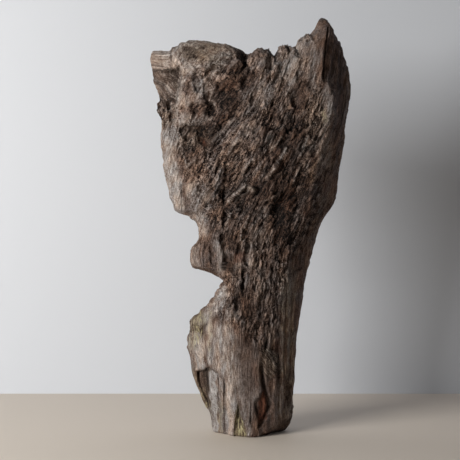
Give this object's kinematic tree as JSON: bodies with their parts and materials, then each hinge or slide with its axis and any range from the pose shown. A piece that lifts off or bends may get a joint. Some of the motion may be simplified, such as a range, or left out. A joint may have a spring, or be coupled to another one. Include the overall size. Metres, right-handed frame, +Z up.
{
  "type": "piece of driftwood",
  "caption": "Weathered driftwood standing upright on a flat sawn foot: a round stem that widens into a rough, torn slab with a broken top edge and one side peak.",
  "frame": {"origin": "middle of the box round the wood, in the plane of its foot", "axes": "+Z up along the stem, -Y out of the front that the picture shows, +X towards the side with the tall peak"},
  "size_m": [0.2451, 0.0885, 0.5008],
  "materials": {
    "weathered_wood": "dry, matt and rough, grey-brown"
  },
  "bodies": {
    "root": {"driftwood": "weathered_wood"}
  },
  "joints": []
}
